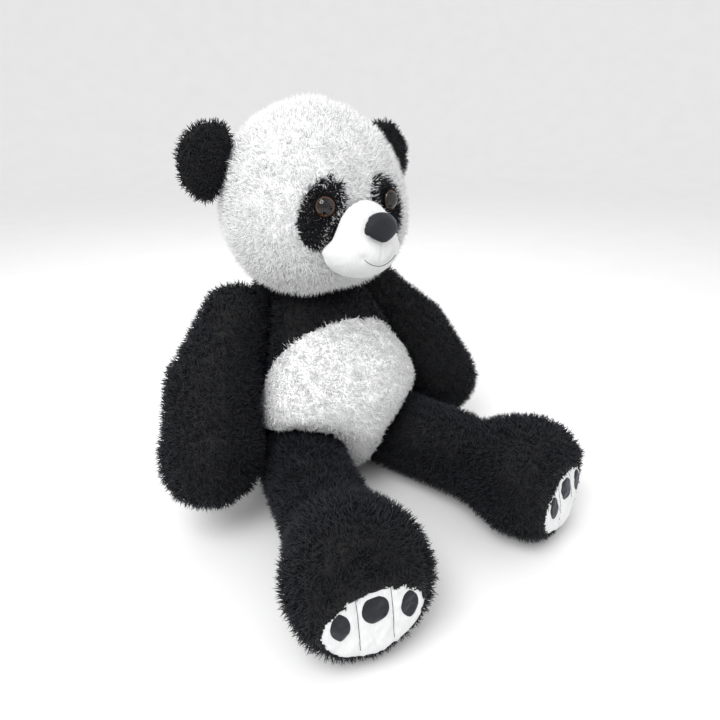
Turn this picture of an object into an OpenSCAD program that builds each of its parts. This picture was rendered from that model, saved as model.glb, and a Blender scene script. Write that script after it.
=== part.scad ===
// Sitting plush panda: sewn plush panels over loose stuffing, with limbs that flex at their seams.
// It faces -Y and sits on the plane z = 0. Its right-hand side is at -X.
// Every soft form is a distance field. A panel is the wall between two levels of one field.

/* [Head] */
// Width of the head
head_w = 284; // [230:1:330]
// Depth of the head, face to back
head_d = 262; // [220:1:300]
// Height of the head
head_h = 282; // [250:1:320]
// Height of the head's centre above the seat
head_z = 498; // [480:1:560]
// How far the head hangs forward of the torso
head_lean = 24; // [0:1:45]
// Width of the muzzle
muzzle_w = 130; // [105:1:160]
// Height of the muzzle
muzzle_h = 120; // [105:1:132]
// How far the muzzle stands out in front of the face
muzzle_out = 60; // [40:1:75]
// Width of the nose
nose_w = 62; // [45:1:70]
// Diameter of the eyes
eye_d = 29; // [22:1:34]
// Distance between the eyes' centres
eye_gap = 100; // [94:1:116]
// Height of the eyes above the head's centre
eye_up = 6; // [-4:1:16]
// Width of an eye patch
patch_w = 54; // [40:1:64]
// Height of an eye patch
patch_h = 94; // [74:1:108]
// Length of an ear along the head
ear_w = 116; // [96:1:130]
// How far an ear stands out from the head
ear_h = 60; // [50:1:72]
// Thickness of an ear
ear_t = 32; // [24:1:40]

/* [Torso] */
// Width across the belly
belly_w = 362; // [300:1:400]
// Depth of the belly
belly_d = 350; // [290:1:380]
// Height of the belly's middle above the seat
belly_z = 150; // [130:1:170]
// Width across the chest
chest_w = 250; // [210:1:290]
// Depth of the chest
chest_d = 190; // [160:1:225]
// Height of the chest's middle above the seat
chest_z = 290; // [270:1:310]
// How far the belly stands forward of the torso's axis
belly_forward = 16; // [0:1:24]
// How far the chest leans back from the torso's axis
chest_back = 14; // [0:1:30]
// Diameter of the flat seat panel
seat_d = 200; // [160:1:220]
// Diameter of the tail
tail_d = 58; // [44:1:72]

/* [Arms] */
// Distance of a shoulder from the middle
shoulder_x = 136; // [134:1:150]
// Height of a shoulder above the seat
shoulder_z = 309; // [300:1:320]
// How far a shoulder is behind the torso's axis
shoulder_back = 18; // [0:1:25]
// Diameter of an arm at the shoulder
arm_d = 108; // [98:1:122]
// Diameter of a paw
paw_d = 150; // [125:1:152]
// Length from the shoulder's centre to the paw's centre
arm_l = 228; // [190:1:270]
// Lean of an arm outwards, from straight down
arm_splay = 26; // [25:1:40]
// How far an elbow is bowed outwards from the arm's straight line
elbow_out = 20; // [0:1:30]
// Lean of an arm forwards, from straight down
arm_forward = 29; // [5:1:40]

/* [Legs] */
// Distance of a hip from the middle
hip_x = 96; // [92:1:105]
// How far a hip is in front of the torso's axis
hip_forward = 104; // [90:1:125]
// Diameter of a thigh
thigh_d = 136; // [115:1:144]
// Diameter of an ankle
ankle_d = 124; // [104:1:136]
// Length from the hip's centre to the foot's centre
leg_l = 280; // [235:1:340]
// Angle of a leg outwards
leg_splay = 14; // [11:1:20]
// Width of a foot
foot_w = 186; // [155:1:205]
// Height of a foot
foot_h = 186; // [155:1:205]
// Length of a foot, from the middle of its ball to the sole
foot_out = 64; // [50:1:70]
// Width of the sole panel
sole_w = 142; // [110:1:150]
// Height of the sole panel
sole_h = 108; // [85:1:120]
// Tilt of the sole, top edge back
sole_tilt = 12; // [0:1:20]
// Diameter of the middle toe pad
toe_d = 36; // [28:1:42]

/* [Cloth] */
// Thickness of the plush cloth, without its pile
cloth = 3; // [2:0.5:4]
// Space between the cloth and the stuffing
slack = 2.5; // [2:0.5:4]
// Gap between pieces that are sewn onto one another
gap = 1.4; // [1.2:0.1:2]
// Clearance between pieces that flex against each other
clear = 2; // [1.6:0.1:3]
// Extra room in the hip and shoulder sockets, where the cloth gathers
ease = 6; // [5:0.5:8]
// Diameter of the sewing thread
thread = 1; // [0.8:0.1:1]

/* [Hidden] */
$fn = 48;
SIDES = ["right", "left"];

// ---------- Distance fields: negative inside, in millimetres ----------

function unit(v) = v / norm(v);
function scaled(p, r) = [p.x / r.x, p.y / r.y, p.z / r.z];
function ball(p, c, r) = norm(p - c) - r;
function egg(p, c, r) =
    let (a = norm(scaled(p - c, r)), b = norm(scaled(scaled(p - c, r), r)))
    b == 0 ? -min(r) : a * (a - 1) / b;
// A tube from a to b with round ends, whose radius goes from ra to rb
function tube(p, a, b, ra, rb) =
    let (h = max(0, min(1, (p - a) * (b - a) / ((b - a) * (b - a)))))
    norm(p - a - h * (b - a)) - ra - h * (rb - ra);
// A tube from a to c by way of b
function bowed_tube(p, a, b, c, ra, rc) =
    melt(tube(p, a, b, ra, (ra + rc) / 2), tube(p, b, c, (ra + rc) / 2, rc), elbow_melt);
// Widths over which forms run into one another
waist_melt = 60;
cheek_melt = 30;
foot_melt = 22;
elbow_melt = 20;
jowl_melt = 12;
// Widths of the soft edges round a hollow for a limb, and round one for the head or seat
limb_edge = 24;
rim_edge = 16;

// Two fields melted together over a width k, and one cut away from the other with a soft edge
function melt(a, b, k) = let (h = max(k - abs(a - b), 0) / k) min(a, b) - h * h * k / 4;
function carve(a, b, k) = -melt(-a, b, k);
// The room that a tube of radius r takes when it swings up to an angle about c, away from direction d
function swung(p, c, d, r, angle) =
    let (q = p - c, n = norm(q), a = n == 0 ? 0 : max(0, acos(max(-1, min(1, q * d / n))) - angle))
    a < 90 ? n * sin(a) - r : n - r;

// The distance along d from o at which a field reaches a level, by halving
function reach(field, o, d, level, lo = 0, hi = 420, n = 20) =
    n == 0 ? (lo + hi) / 2
    : let (m = (lo + hi) / 2)
      field(o + m * d) < level ? reach(field, o, d, level, m, hi, n - 1)
                               : reach(field, o, d, level, lo, m, n - 1);
function on(field, o, d, level) = o + reach(field, o, d, level) * d;

// Directions from a form's centre. w runs from the front, -Y, at -90 to the back at 90.
function around(u, w) = [cos(w) * cos(u), sin(w), cos(w) * sin(u)];
function steps(a, b, n) = [for (i = [0:n]) a + (b - a) * i / n];
function ring(n) = [for (i = [0:n - 1]) 360 * i / n];

// ---------- Panels: a grid of points at two levels, closed at its edges ----------

// skin = [outer level, inner level], or one level for a solid form. point(u, v, level) gives a point.
// wrap joins the first and last u. tip and end say that the first and last v are single points.
module panel(point, us, vs, skin, wrap = false, tip = false, end = false) {
    nu = len(us);
    nv = len(vs);
    function id(s, i, j) = (s * nv + j) * nu + (((j == 0 && tip) || (j == nv - 1 && end)) ? 0 : i % nu);
    columns = [for (i = [0:(wrap ? nu - 1 : nu - 2)]) i];
    function quad(a, b, c, d, out) =
        [for (t = [[a, b, c], [a, c, d]]) if (t[0] != t[1] && t[1] != t[2] && t[2] != t[0])
            out ? t : [t[0], t[2], t[1]]];
    sheets = [for (s = [0:len(skin) - 1], j = [0:nv - 2], i = columns)
        each quad(id(s, i, j), id(s, i + 1, j), id(s, i + 1, j + 1), id(s, i, j + 1), s == 0)];
    ends = len(skin) == 1 ? [] : [
        if (!tip) for (i = columns)
            each quad(id(0, i, 0), id(1, i, 0), id(1, i + 1, 0), id(0, i + 1, 0), true),
        if (!end) for (i = columns)
            each quad(id(0, i, nv - 1), id(0, i + 1, nv - 1), id(1, i + 1, nv - 1), id(1, i, nv - 1), true),
        if (!wrap) for (j = [0:nv - 2])
            each quad(id(0, 0, j), id(0, 0, j + 1), id(1, 0, j + 1), id(1, 0, j), true),
        if (!wrap) for (j = [0:nv - 2])
            each quad(id(0, nu - 1, j), id(1, nu - 1, j), id(1, nu - 1, j + 1), id(0, nu - 1, j + 1), true)];
    polyhedron(points = [for (l = skin, v = vs, u = us) point(u, v, l)], faces = concat(sheets, ends));
}
COVER = [0, -cloth];
FILL = [-cloth - slack];

// ---------- Frame ----------

function out(side) = side == "right" ? -1 : 1;
foot_dir = function (s) [s * sin(leg_splay), -cos(leg_splay), 0];

// ---------- Torso ----------

seat_t = cloth;
head_c = [0, -head_lean, head_z];
// The neck's pivot is this far up inside the head
neck_up = 70;
neck_c = [0, -head_lean, head_z - head_h / 2 + neck_up];
shoulder_c = function (s) [s * shoulder_x, shoulder_back, shoulder_z];
// Height of a thigh's underside above the seat
thigh_up = 4;
hip_c = function (s) [s * hip_x, -hip_forward, thigh_d / 2 + thigh_up];
// How far the tail's root is sunk into the back, and how high it is
tail_in = 6;
tail_up = 84;
tail_c = [0, belly_d / 2 - belly_forward - tail_in, tail_up];
// Ranges of the joints that the torso's hollows leave room for
leg_swing = 13;
leg_droop = 4;
head_nod = 10;
head_drift = (head_c - neck_c).z * sin(head_nod) + clear;

// The middle of the directions that a leg swings through
hang_dir = function (s) unit(foot_dir(s) - [0, 0, tan(leg_droop)]);
arm_dir = function (s)
    [s * sin(arm_splay), -cos(arm_splay) * sin(arm_forward), -cos(arm_splay) * cos(arm_forward)];
// The room that an arm takes as it swings about the line through the shoulder along X
function swept_arm(p, s) =
    let (q = p - shoulder_c(s), paw = arm_l * [sin(arm_splay), cos(arm_splay), 0],
         elbow = paw / 2 + [elbow_out, 0, 0])
    bowed_tube([s * q.x, norm([q.y, q.z]), 0], [0, 0, 0], elbow, paw, arm_d / 2, paw_d / 2);
// Extra room in front of, behind and below the head
nod_room = 9;
function swept_head(p) =
    egg(p, head_c - [0, 0, head_drift / 3],
        [head_w / 2 + head_drift, head_d / 2 + head_drift + nod_room, head_h / 2 + nod_room]);
// Half the height of the chest's own form, and how far the belly's reaches below the seat
chest_r = 125;
belly_sunk = 12;
function torso_field(p) =
    let (body = melt(egg(p, [0, -belly_forward, belly_z], [belly_w / 2, belly_d / 2, belly_z + belly_sunk]),
                     egg(p, [0, chest_back, chest_z], [chest_w / 2, chest_d / 2, chest_r]), waist_melt),
         s = p.x < 0 ? -1 : 1,
         sat = carve(body, p.z - seat_t - gap, rim_edge),
         necked = carve(sat, swept_head(p) - clear, rim_edge),
         armed = carve(necked, swept_arm(p, s) - clear - ease, limb_edge))
    carve(armed, swung(p, hip_c(s), hang_dir(s), thigh_d / 2, leg_swing) - clear - ease, limb_edge);
// The point that the torso's panels are laid out from
torso_c = [0, 0, 175];
torso_point = function (u, v, l) on(function (p) torso_field(p), torso_c, around(u, v), l);
// How far the white belly panel reaches sideways, up and down, as angles from straight ahead
belly_side = 71;
belly_top = 54;
belly_foot = 58;
// The w at which the belly panel ends, in the direction u
function belly_edge(u) =
    -90 + 1 / norm([cos(u) / belly_side, sin(u) / (sin(u) > 0 ? belly_top : belly_foot)]);
// k goes from 0 at the belly's middle to 1 at the panel's edge, 2 at the side seams and 3 at the back
TORSO_ROWS = concat(steps(0, 1, 8), [1.25, 1.5, 1.75], steps(2, 3, 10));
function torso_rows(a, b) = [for (k = TORSO_ROWS) if (k >= a && k <= b) k];
torso_row_point = function (u, k, l)
    let (e = belly_edge(u))
    torso_point(u, k < 1 ? -90 + (e + 90) * k : k < 2 ? e * (2 - k) : 90 * (k - 2), l);
SIDE_U = function (s) s < 0 ? [90, 270] : [-90, 90];
function side_steps(s, n) = steps(SIDE_U(s)[0], SIDE_U(s)[1], n);

module torso_stuffing() color("white")
    panel(torso_row_point, ring(36), TORSO_ROWS, FILL, true, true, true);
module belly_panel() color("white")
    panel(torso_row_point, ring(36), torso_rows(0, 1), COVER, true, true);
module torso_front(s) color("black")
    panel(torso_row_point, side_steps(s, 18), torso_rows(1, 2), COVER);
module torso_back(s) color("black")
    panel(torso_row_point, side_steps(s, 18), torso_rows(2, 3), COVER, end = true);
module seat_panel() color("black") cylinder(d = seat_d, h = seat_t);
// The hand-closed opening in the back: stitches one above another, across the middle seam
stitch_pitch = 9;
stitch_l = 7;
stitch_lift = 0.2;
closing_z = 190;
module closing_seam() color("black")
    for (k = [-8:8])
        translate(on(function (p) torso_field(p), [0, 0, closing_z + k * stitch_pitch], [0, 1, 0],
                     stitch_lift + thread / 2))
            rotate([0, 90, 0]) cylinder(d = thread, h = stitch_l, center = true);

// ---------- Tail ----------

// The tail's far end, from its root, and how much thinner it is there
tail_tip = [0, 22, -6];
tail_taper = 3;
tail_field = function (p)
    max(tube(p, tail_c, tail_c + tail_tip, tail_d / 2, tail_d / 2 - tail_taper), gap - torso_field(p));
tail_point = function (u, v, l) on(tail_field, tail_c + tail_tip + [0, 0, 1], around(u, v), l);
module tail_cover() color("white") panel(tail_point, ring(16), steps(-45, 90, 6), COVER, true, false, true);
module tail_stuffing() color("white") panel(tail_point, ring(16), steps(-90, 90, 8), FILL, true, true, true);

// ---------- Head ----------

head_r = [head_w / 2, head_d / 2, head_h / 2];
// The cheeks: two balls low in the face, this much smaller than the head
cheek = function (s) head_c + [s * 46, -18, -37];
cheek_in = 48;
function head_field(p) =
    melt(egg(p, head_c, head_r), min([for (s = [-1, 1]) ball(p, cheek(s), head_w / 2 - cheek_in)]),
         cheek_melt);
head_point = function (u, v, l) on(function (p) head_field(p), head_c, around(u, v), l);

// An eye's place on the face, just above the patch, and the direction that it looks in
eye_front = head_d * 0.44;
eye_c = function (s)
    on(function (p) head_field(p), head_c, unit([s * eye_gap / 2, -eye_front, eye_up]), 2 * gap + cloth);
eye_aim = function (s)
    unit([s * eye_gap / 2 / pow(head_w, 2), -eye_front / pow(head_d, 2), eye_up / pow(head_h, 2)]);
module at_eye(s)
    translate(eye_c(s)) rotate([0, acos(eye_aim(s).z), atan2(eye_aim(s).y, eye_aim(s).x)]) children();

// The muzzle: a bridge narrow enough to stay between the eyes, over wider jowls
muzzle_low = 42;
muzzle_c = head_c + [0, -head_d / 2 + 8, -muzzle_low];
bridge_room = eye_gap / 2 - eye_d / 2 - clear;
bridge_share = sqrt(max(0.3, 1 - pow((eye_up + muzzle_low) / (muzzle_h / 2), 2)));
bridge_r = [min(muzzle_w * 0.41, bridge_room / bridge_share), muzzle_out, muzzle_h / 2];
jowl_c = muzzle_c + [0, -4, -16];
jowl_r = [muzzle_w / 2, muzzle_out - 4, muzzle_h * 0.36];
function muzzle_field(p) =
    max(melt(egg(p, muzzle_c, bridge_r), egg(p, jowl_c, jowl_r), jowl_melt), gap - head_field(p));
muzzle_heart = muzzle_c + [0, -18, 0];
muzzle_point = function (u, v, l) on(function (p) muzzle_field(p), muzzle_heart, around(u, v), l);

nose_c = muzzle_c + [0, -muzzle_out + 2, 18];
nose_h = nose_w * 0.82;
nose_out = 15;
// Share of its width that the nose has lost at its lowest point
nose_taper = 0.42;
// Thickness of the nose's thin cloth
nose_cloth = 1.5;
function nose_field(p) =
    let (q = p - nose_c, narrow = 1 - nose_taper * max(0, -q.z) / (nose_h / 2))
    max(egg([q.x / max(0.3, narrow), q.y, q.z], [0, 0, 0], [nose_w / 2, nose_out, nose_h / 2]),
        gap - muzzle_field(p));
nose_heart = nose_c + [0, -8, 0];
nose_point = function (u, v, l) on(function (p) nose_field(p), nose_heart, around(u, v), l);

// A safety eye's post, which a washer holds behind the cloth
post_d = 6;
post_fit = 0.1;
post_end = 6;
post_l = 2 * cloth + 2 * gap + post_end;
washer_d = 24;
washer_t = 2;
washer_at = -2 * cloth - 2 * gap - 4.2;
module eye_hole(s) at_eye(s) translate([0, 0, -30]) cylinder(d = post_d + 2 * post_fit, h = 40);

module head_stuffing() color("white") difference() {
    panel(head_point, ring(32), steps(-90, 90, 18), FILL, true, true, true);
    for (s = [-1, 1]) at_eye(s) translate([0, 0, -post_l - 4]) cylinder(d = washer_d + clear, h = post_l + 8);
}
module face(s) color("white") difference() {
    panel(head_point, side_steps(s, 16), steps(-90, 0, 9), COVER, tip = true);
    eye_hole(s);
}
module head_back(s) color("white") panel(head_point, side_steps(s, 16), steps(0, 90, 9), COVER, end = true);
module muzzle(s) color("white")
    panel(muzzle_point, side_steps(s, 12), steps(-90, 90, 12), COVER, tip = true, end = true);
module muzzle_stuffing() color("white")
    panel(muzzle_point, ring(24), steps(-90, 90, 12), FILL, true, true, true);
module nose_cover() color("black")
    panel(nose_point, ring(16), steps(-90, 30, 8), [0, -nose_cloth], true, true, false);
module nose_stuffing() color("white")
    panel(nose_point, ring(16), steps(-90, 90, 12), [-nose_cloth - gap], true, true, true);

// A thread of diameter d through some points, none of which lead in the direction up
module stitched(points, d, up = [0, 1, 0]) color("black") {
    n = 8;
    m = len(points);
    side = [for (i = [0:m - 1]) unit(points[min(i + 1, m - 1)] - points[max(i - 1, 0)])];
    polyhedron(
        points = [for (i = [0:m - 1], k = [0:n - 1])
            let (a = unit(cross(side[i], up)), b = cross(side[i], a))
            points[i] + d / 2 * (a * cos(k * 360 / n) + b * sin(k * 360 / n))],
        faces = concat([[for (k = [0:n - 1]) k]], [[for (k = [n - 1:-1:0]) (m - 1) * n + k]],
            [for (i = [0:m - 2], k = [0:n - 1]) each [
                [i * n + k, (i + 1) * n + k, i * n + (k + 1) % n],
                [i * n + (k + 1) % n, (i + 1) * n + k, (i + 1) * n + (k + 1) % n]]]));
}
// The mouth: a smile in thick thread, lowest in the middle
mouth_w = 62;
mouth_d = 2;
mouth_low = 36;
mouth_rise = 13;
mouth_out = 46;
function mouth_at(x) = let (z = -mouth_low + mouth_rise * pow(x / (mouth_w / 2), 2))
    on(function (p) muzzle_field(p), muzzle_heart, unit([x, -mouth_out, z]), mouth_d / 2 + gap);
module mouth_thread() stitched([for (i = [-8:8]) mouth_at(i * mouth_w / 16)], mouth_d);

// ---------- Eyes and eye patches ----------

// An eye patch leans outwards at its foot, and its middle is outside and below the eye's
patch_tilt = 22;
patch_past = 7;
patch_below = 14;
patch_dir = function (s) unit([s * (eye_gap / 2 + patch_past), -eye_front, eye_up - patch_below]);
// A point of the patch at level l, in the direction u from its middle and at the share k of its size
function patch_at(s, u, k, l) =
    let (a = patch_dir(s), x = unit(cross([0, 0, 1], a)), z = cross(a, x), t = s * patch_tilt,
         e = patch_w / head_d * cos(u), f = patch_h / head_d * sin(u))
    on(function (p) head_field(p), head_c,
       unit(a + k * (x * (e * cos(t) - f * sin(t)) + z * (e * sin(t) + f * cos(t)))), l);
// The share of its size that the patch keeps beside the muzzle, by halving
function patch_share(s, u, lo = 0.2, hi = 1, n = 7) =
    n == 0 ? lo
    : let (m = (lo + hi) / 2)
      muzzle_field(patch_at(s, u, m, cloth)) > gap + 1 ? patch_share(s, u, m, hi, n - 1)
                                                       : patch_share(s, u, lo, m, n - 1);
patch_point = function (s) function (u, k, l)
    let (all = muzzle_field(patch_at(s, u, 1, cloth)) > gap + 1)
        patch_at(s, u, k * (all ? 1 : patch_share(s, u)), l);
module eye_patch(s) color("black") difference() {
    panel(patch_point(s), ring(20), steps(0, 1, 4), [gap + cloth, gap], true, true, false);
    eye_hole(s);
}
// The iris is a disc on the patch; the clear lens is a cap of a sphere on it
iris_lift = 0.4;
iris_t = 1.8;
lens_base = iris_lift + iris_t;
lens_h = eye_d * 0.3;
lens_r = (pow(eye_d / 2, 2) + pow(lens_h, 2)) / (2 * lens_h);
module eye_lens(s) color("black") at_eye(s) intersection() {
    translate([0, 0, lens_h + lens_base - lens_r]) sphere(r = lens_r);
    translate([0, 0, lens_base]) cylinder(d = eye_d, h = eye_d);
}
module eye_iris(s) color("saddlebrown") at_eye(s)
    translate([0, 0, iris_lift]) cylinder(d = eye_d, h = iris_t);
module eye_post(s) color("black") at_eye(s)
    translate([0, 0, -post_l]) cylinder(d = post_d, h = post_l + iris_lift);
module eye_washer(s) color("white") at_eye(s) translate([0, 0, washer_at]) difference() {
    cylinder(d = washer_d, h = washer_t);
    translate([0, 0, -1]) cylinder(d = post_d + post_fit, h = washer_t + 2);
}

// ---------- Ears ----------

// An ear's root is a roll along the head, a little thinner than the ear
ear_base_r = ear_t / 2 - 3;
ear_dir = function (s) unit([s * 118, 14, 46]);
ear_root = function (s) on(function (p) head_field(p), head_c, ear_dir(s), ear_base_r + clear);
ear_up = function (s) unit([ear_dir(s).x, 0, ear_dir(s).z]);
ear_along = function (s) cross([0, 1, 0], ear_up(s));
function ear_field(p, s) =
    let (q = p - ear_root(s), h = q * ear_up(s), w = q * ear_along(s), t = q.y)
    h < 0 ? max(norm([t, h]) - ear_base_r, abs(w) - ear_w * 0.36 + pow(min(0, h), 2) / 20)
          : egg([w, t, h], [0, 0, ear_h * 0.12], [ear_w / 2, ear_t / 2, ear_h * 0.88]);
ear_heart = function (s) ear_root(s) + ear_up(s) * ear_h * 0.2;
ear_point = function (s) function (u, v, l) on(function (p) ear_field(p, s), ear_heart(s), around(u, v), l);
module ear_half(s, v0, v1, t0, t1) color("black")
    panel(ear_point(s), ring(18), steps(v0, v1, 4), COVER, true, t0, t1);
module ear_stuffing(s) color("white")
    panel(ear_point(s), ring(18), steps(-90, 90, 8), FILL, true, true, true);

// ---------- Limbs: forms about a straight line from a to b ----------

// k from 0 to 1 goes round the first end, along the line, and round the last end
function limb_origin(a, b, k) = a + (b - a) * max(0, min(1, (k - 0.25) / 0.5));
function limb_dir(a, b, side, u, k) =
    let (e = unit(b - a), x = side, y = cross(side, e),
         w = k < 0.25 ? -90 + 360 * k : k > 0.75 ? 360 * (k - 0.75) : 0)
    cos(w) * (cos(u) * x + sin(u) * y) + sin(w) * e;

function arm_field(p, s) =
    let (c = shoulder_c(s), paw = c + arm_l * arm_dir(s), elbow = (c + paw) / 2 + [s * elbow_out, 0, 0])
    bowed_tube(p, c, elbow, paw, arm_d / 2, paw_d / 2);
arm_side = function (s) unit(cross(arm_dir(s), [0, 1, 0]));
arm_point = function (s) function (u, k, l)
    let (a = shoulder_c(s), b = a + arm_l * arm_dir(s))
    on(function (p) arm_field(p, s), limb_origin(a, b, k), limb_dir(a, b, arm_side(s), u, k), l);
module arm_half(s, u0) color("black")
    panel(arm_point(s), steps(u0, u0 + 180, 9), steps(0, 1, 12), COVER, tip = true, end = true);
module arm_stuffing(s) color("white") panel(arm_point(s), ring(18), steps(0, 1, 12), FILL, true, true, true);

// How far the foot's underside is cut flat, and how far the ankle runs in below the foot's middle
foot_flat = 2;
ankle_low = 6;
foot_c = function (s) hip_c(s) + leg_l * foot_dir(s) + [0, 0, foot_h / 2 - hip_c(s).z - foot_flat];
sole_dir = function (s) foot_dir(s) * cos(sole_tilt) + [0, 0, sin(sole_tilt)];
function leg_field(p, s) =
    let (c = hip_c(s), f = foot_c(s), q = p - f, d = foot_dir(s),
         turned = [q * cross(d, [0, 0, 1]), q * d, q.z])
    max(melt(tube(p, c, f - [0, 0, ankle_low], thigh_d / 2, ankle_d / 2),
             egg(turned, [0, 0, 0], [foot_w / 2, foot_out * 1.5, foot_h / 2]), foot_melt),
        q * sole_dir(s) - foot_out, -p.z);
leg_side = function (s) cross(foot_dir(s), [0, 0, 1]);
// The leg's own line ends this far behind the sole, and below the middle of the foot
sole_deep = 30;
sole_low = 16;
// The angle from the line at which the sole's edge lies: a wide oval
function sole_edge(u) = atan(sole_deep * norm([cos(u) / (sole_w / 2), sin(u) / (sole_h / 2)]));
// k goes from 0 at the hip's end to 1 at the ankle, 2 at the sole's edge and 3 at its middle
leg_point = function (s) function (u, k, l)
    let (a = hip_c(s), b = foot_c(s) + foot_dir(s) * (foot_out - sole_deep) - [0, 0, sole_low],
         e = sole_edge(u),
         w = k < 2 ? e * (k - 1) : e + (90 - e) * (k - 2))
    on(function (p) leg_field(p, s), limb_origin(a, b, min(1, k) * 0.75),
       k < 1 ? limb_dir(a, b, leg_side(s), u, k * 0.75) : limb_dir(a, b, leg_side(s), u, 0.75 + w / 360), l);
LEG_ROWS = concat(steps(0, 1, 11), [1.5, 2]);
SOLE_ROWS = [2, 2.33, 2.67, 3];
module leg_half(s, u0) color("black")
    panel(leg_point(s), steps(u0, u0 + 180, 10), LEG_ROWS, COVER, tip = true);
module leg_stuffing(s) color("white")
    panel(leg_point(s), ring(20), concat(LEG_ROWS, [2.33, 2.67, 3]), FILL, true, true, true);
module sole(s) color("white") panel(leg_point(s), ring(20), SOLE_ROWS, COVER, true, false, true);

// ---------- Toe pads, on the sole ----------

// Thickness of a pad, its distance from the next as a share of its size, and how the outer two drop and lean
toe_t = 1.6;
toe_pitch = 1.2;
toe_low = 4;
toe_drop = 9;
toe_lean = 14;
module on_sole(s)
    translate(foot_c(s) + sole_dir(s) * foot_out)
        rotate([90 - sole_tilt, 0, atan2(foot_dir(s).y, foot_dir(s).x) + 90]) children();
module toe_pads(s) color("black") on_sole(s) translate([0, 0, gap])
    for (k = [-1, 0, 1])
        translate([k * toe_d * toe_pitch, -toe_low - toe_drop * abs(k), 0]) rotate(-k * toe_lean)
            linear_extrude(toe_t)
                polygon([for (a = ring(24)) toe_d / 2 * [cos(a) * (k == 0 ? 1 : 0.8), sin(a) * 1.04]]);

// ---------- Seams that the head and limbs flex about ----------

// A ring of thread about a ball of radius r at c, that far short of the ball's pole in the direction dir
module seam_ring(c, dir, r, short) color("black") translate(c)
    rotate([0, acos(dir.z), atan2(dir.y, dir.x)]) translate([0, 0, r - short])
        rotate_extrude() translate([sqrt(r * r - pow(r - short, 2)), 0]) circle(d = thread, $fn = 16);
shoulder_in = 11;
hip_in = 16;
module shoulder_seam(s) seam_ring(shoulder_c(s), [-s, 0, 0], arm_d / 2 + clear, shoulder_in);
module hip_seam(s) seam_ring(hip_c(s), -foot_dir(s), thigh_d / 2 + clear, hip_in);
// The neck's seam: a thread below the head, in the room that the head has to nod in
neck_open = 163;
neck_seam_at = [for (u = [4:8:356])
    on(function (p) swept_head(p), head_c,
       [cos(u) * sin(neck_open), sin(u) * sin(neck_open), cos(neck_open)], -thread)];
module neck_seam() stitched(neck_seam_at, thread, [0, 0, 1]);

// ---------- The assembly ----------

torso_stuffing();
belly_panel();
seat_panel();
closing_seam();
tail_cover();
tail_stuffing();
head_stuffing();
neck_seam();
muzzle_stuffing();
nose_cover();
nose_stuffing();
mouth_thread();
for (side = SIDES) let (s = out(side)) {
    torso_front(s);
    torso_back(s);
    face(s);
    head_back(s);
    muzzle(s);
    eye_patch(s);
    eye_lens(s);
    eye_iris(s);
    eye_post(s);
    eye_washer(s);
    ear_half(s, -90, 0, true, false);
    ear_half(s, 0, 90, false, true);
    ear_stuffing(s);
    arm_half(s, s > 0 ? -90 : 90);
    arm_half(s, s > 0 ? 90 : -90);
    arm_stuffing(s);
    shoulder_seam(s);
    leg_half(s, s > 0 ? 90 : -90);
    leg_half(s, s > 0 ? -90 : 90);
    leg_stuffing(s);
    hip_seam(s);
    sole(s);
    toe_pads(s);
}
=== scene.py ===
"""A plush panda: stuffed skins, pile, muzzle, nose, eyes, soles and stitching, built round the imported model.

Each stuffed body is blown up from its own stuffing and cut into the panels that it is sewn from. Its skin is
raised in tufts and dressed with pile made of small curved locks. Lengths are in metres.
"""

from __future__ import annotations

import logging
import math
from dataclasses import dataclass, field
from enum import Enum
from functools import lru_cache

import bmesh
import bpy
from mathutils import Matrix, Vector, noise
from mathutils.bvhtree import BVHTree


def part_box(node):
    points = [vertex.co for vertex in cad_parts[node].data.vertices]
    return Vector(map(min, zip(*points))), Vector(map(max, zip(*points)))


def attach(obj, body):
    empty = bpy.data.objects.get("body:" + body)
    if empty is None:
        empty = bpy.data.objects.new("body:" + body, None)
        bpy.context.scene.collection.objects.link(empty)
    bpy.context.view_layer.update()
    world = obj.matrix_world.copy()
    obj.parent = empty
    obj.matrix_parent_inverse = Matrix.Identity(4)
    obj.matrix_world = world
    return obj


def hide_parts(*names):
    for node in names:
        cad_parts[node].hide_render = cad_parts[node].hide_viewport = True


LOG = logging.getLogger("panda")
MM = 0.001
UP = Vector((0, 0, 1))

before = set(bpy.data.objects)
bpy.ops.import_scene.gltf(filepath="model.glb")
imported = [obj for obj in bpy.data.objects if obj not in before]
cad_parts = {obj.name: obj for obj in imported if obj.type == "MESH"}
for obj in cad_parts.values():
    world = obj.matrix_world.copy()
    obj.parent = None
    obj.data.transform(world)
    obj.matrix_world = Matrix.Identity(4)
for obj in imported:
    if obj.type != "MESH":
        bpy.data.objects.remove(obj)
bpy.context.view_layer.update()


class Side(Enum):
    """Which side of the panda a piece is on; the value is the sign of its X."""

    RIGHT = -1
    LEFT = 1

    def named(self, piece: str) -> str:
        """The name of this side's own copy of a piece."""
        return f"{self.name.lower()}_{piece}"


class Slot(Enum):
    """The record's material slots."""

    WHITE = "white_plush"
    BLACK = "black_plush"
    SHORT = "short_white_plush"
    CLOTH = "black_cloth"
    STUFFING = "stuffing"
    LENS = "eye_lens"
    IRIS = "eye_iris"
    POST = "eye_post"
    WASHER = "eye_washer"
    THREAD = "black_thread"


# ---------- Node trees ----------


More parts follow.
